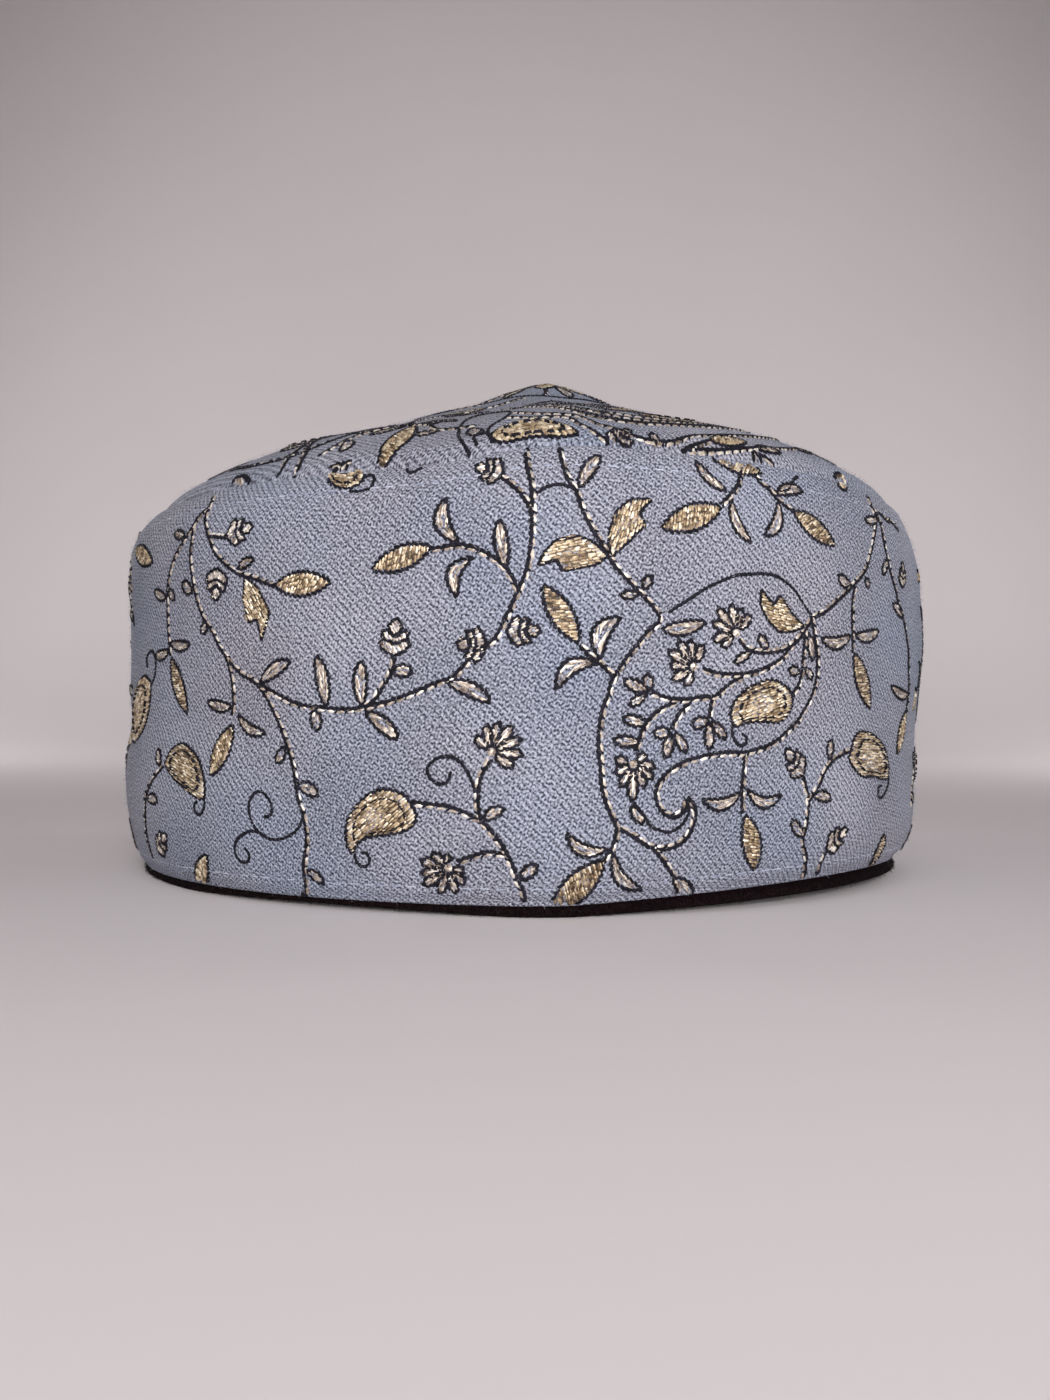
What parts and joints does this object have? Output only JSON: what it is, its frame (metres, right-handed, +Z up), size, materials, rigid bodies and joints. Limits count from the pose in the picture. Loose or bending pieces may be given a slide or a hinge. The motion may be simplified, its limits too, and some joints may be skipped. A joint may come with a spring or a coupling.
{
  "type": "embroidered round cap",
  "caption": "Round soft cloth cap with an upright side wall, a domed crown rising to a small peak and a dark band inside the rim.",
  "frame": {"origin": "on the floor, under the middle of the cap's overall box", "axes": "+Z up through the crown, -Y towards the front fold, +X to the wearer's left, which is the right of the picture"},
  "size_m": [0.1876, 0.1908, 0.119],
  "materials": {
    "blue_twill": "grey-blue wool twill embroidered in pale gold and black thread",
    "dark_felt": "near-black short-piled felt"
  },
  "bodies": {
    "root": {"side_wall": "blue_twill", "crown": "blue_twill", "lining_band": "dark_felt"}
  },
  "joints": []
}
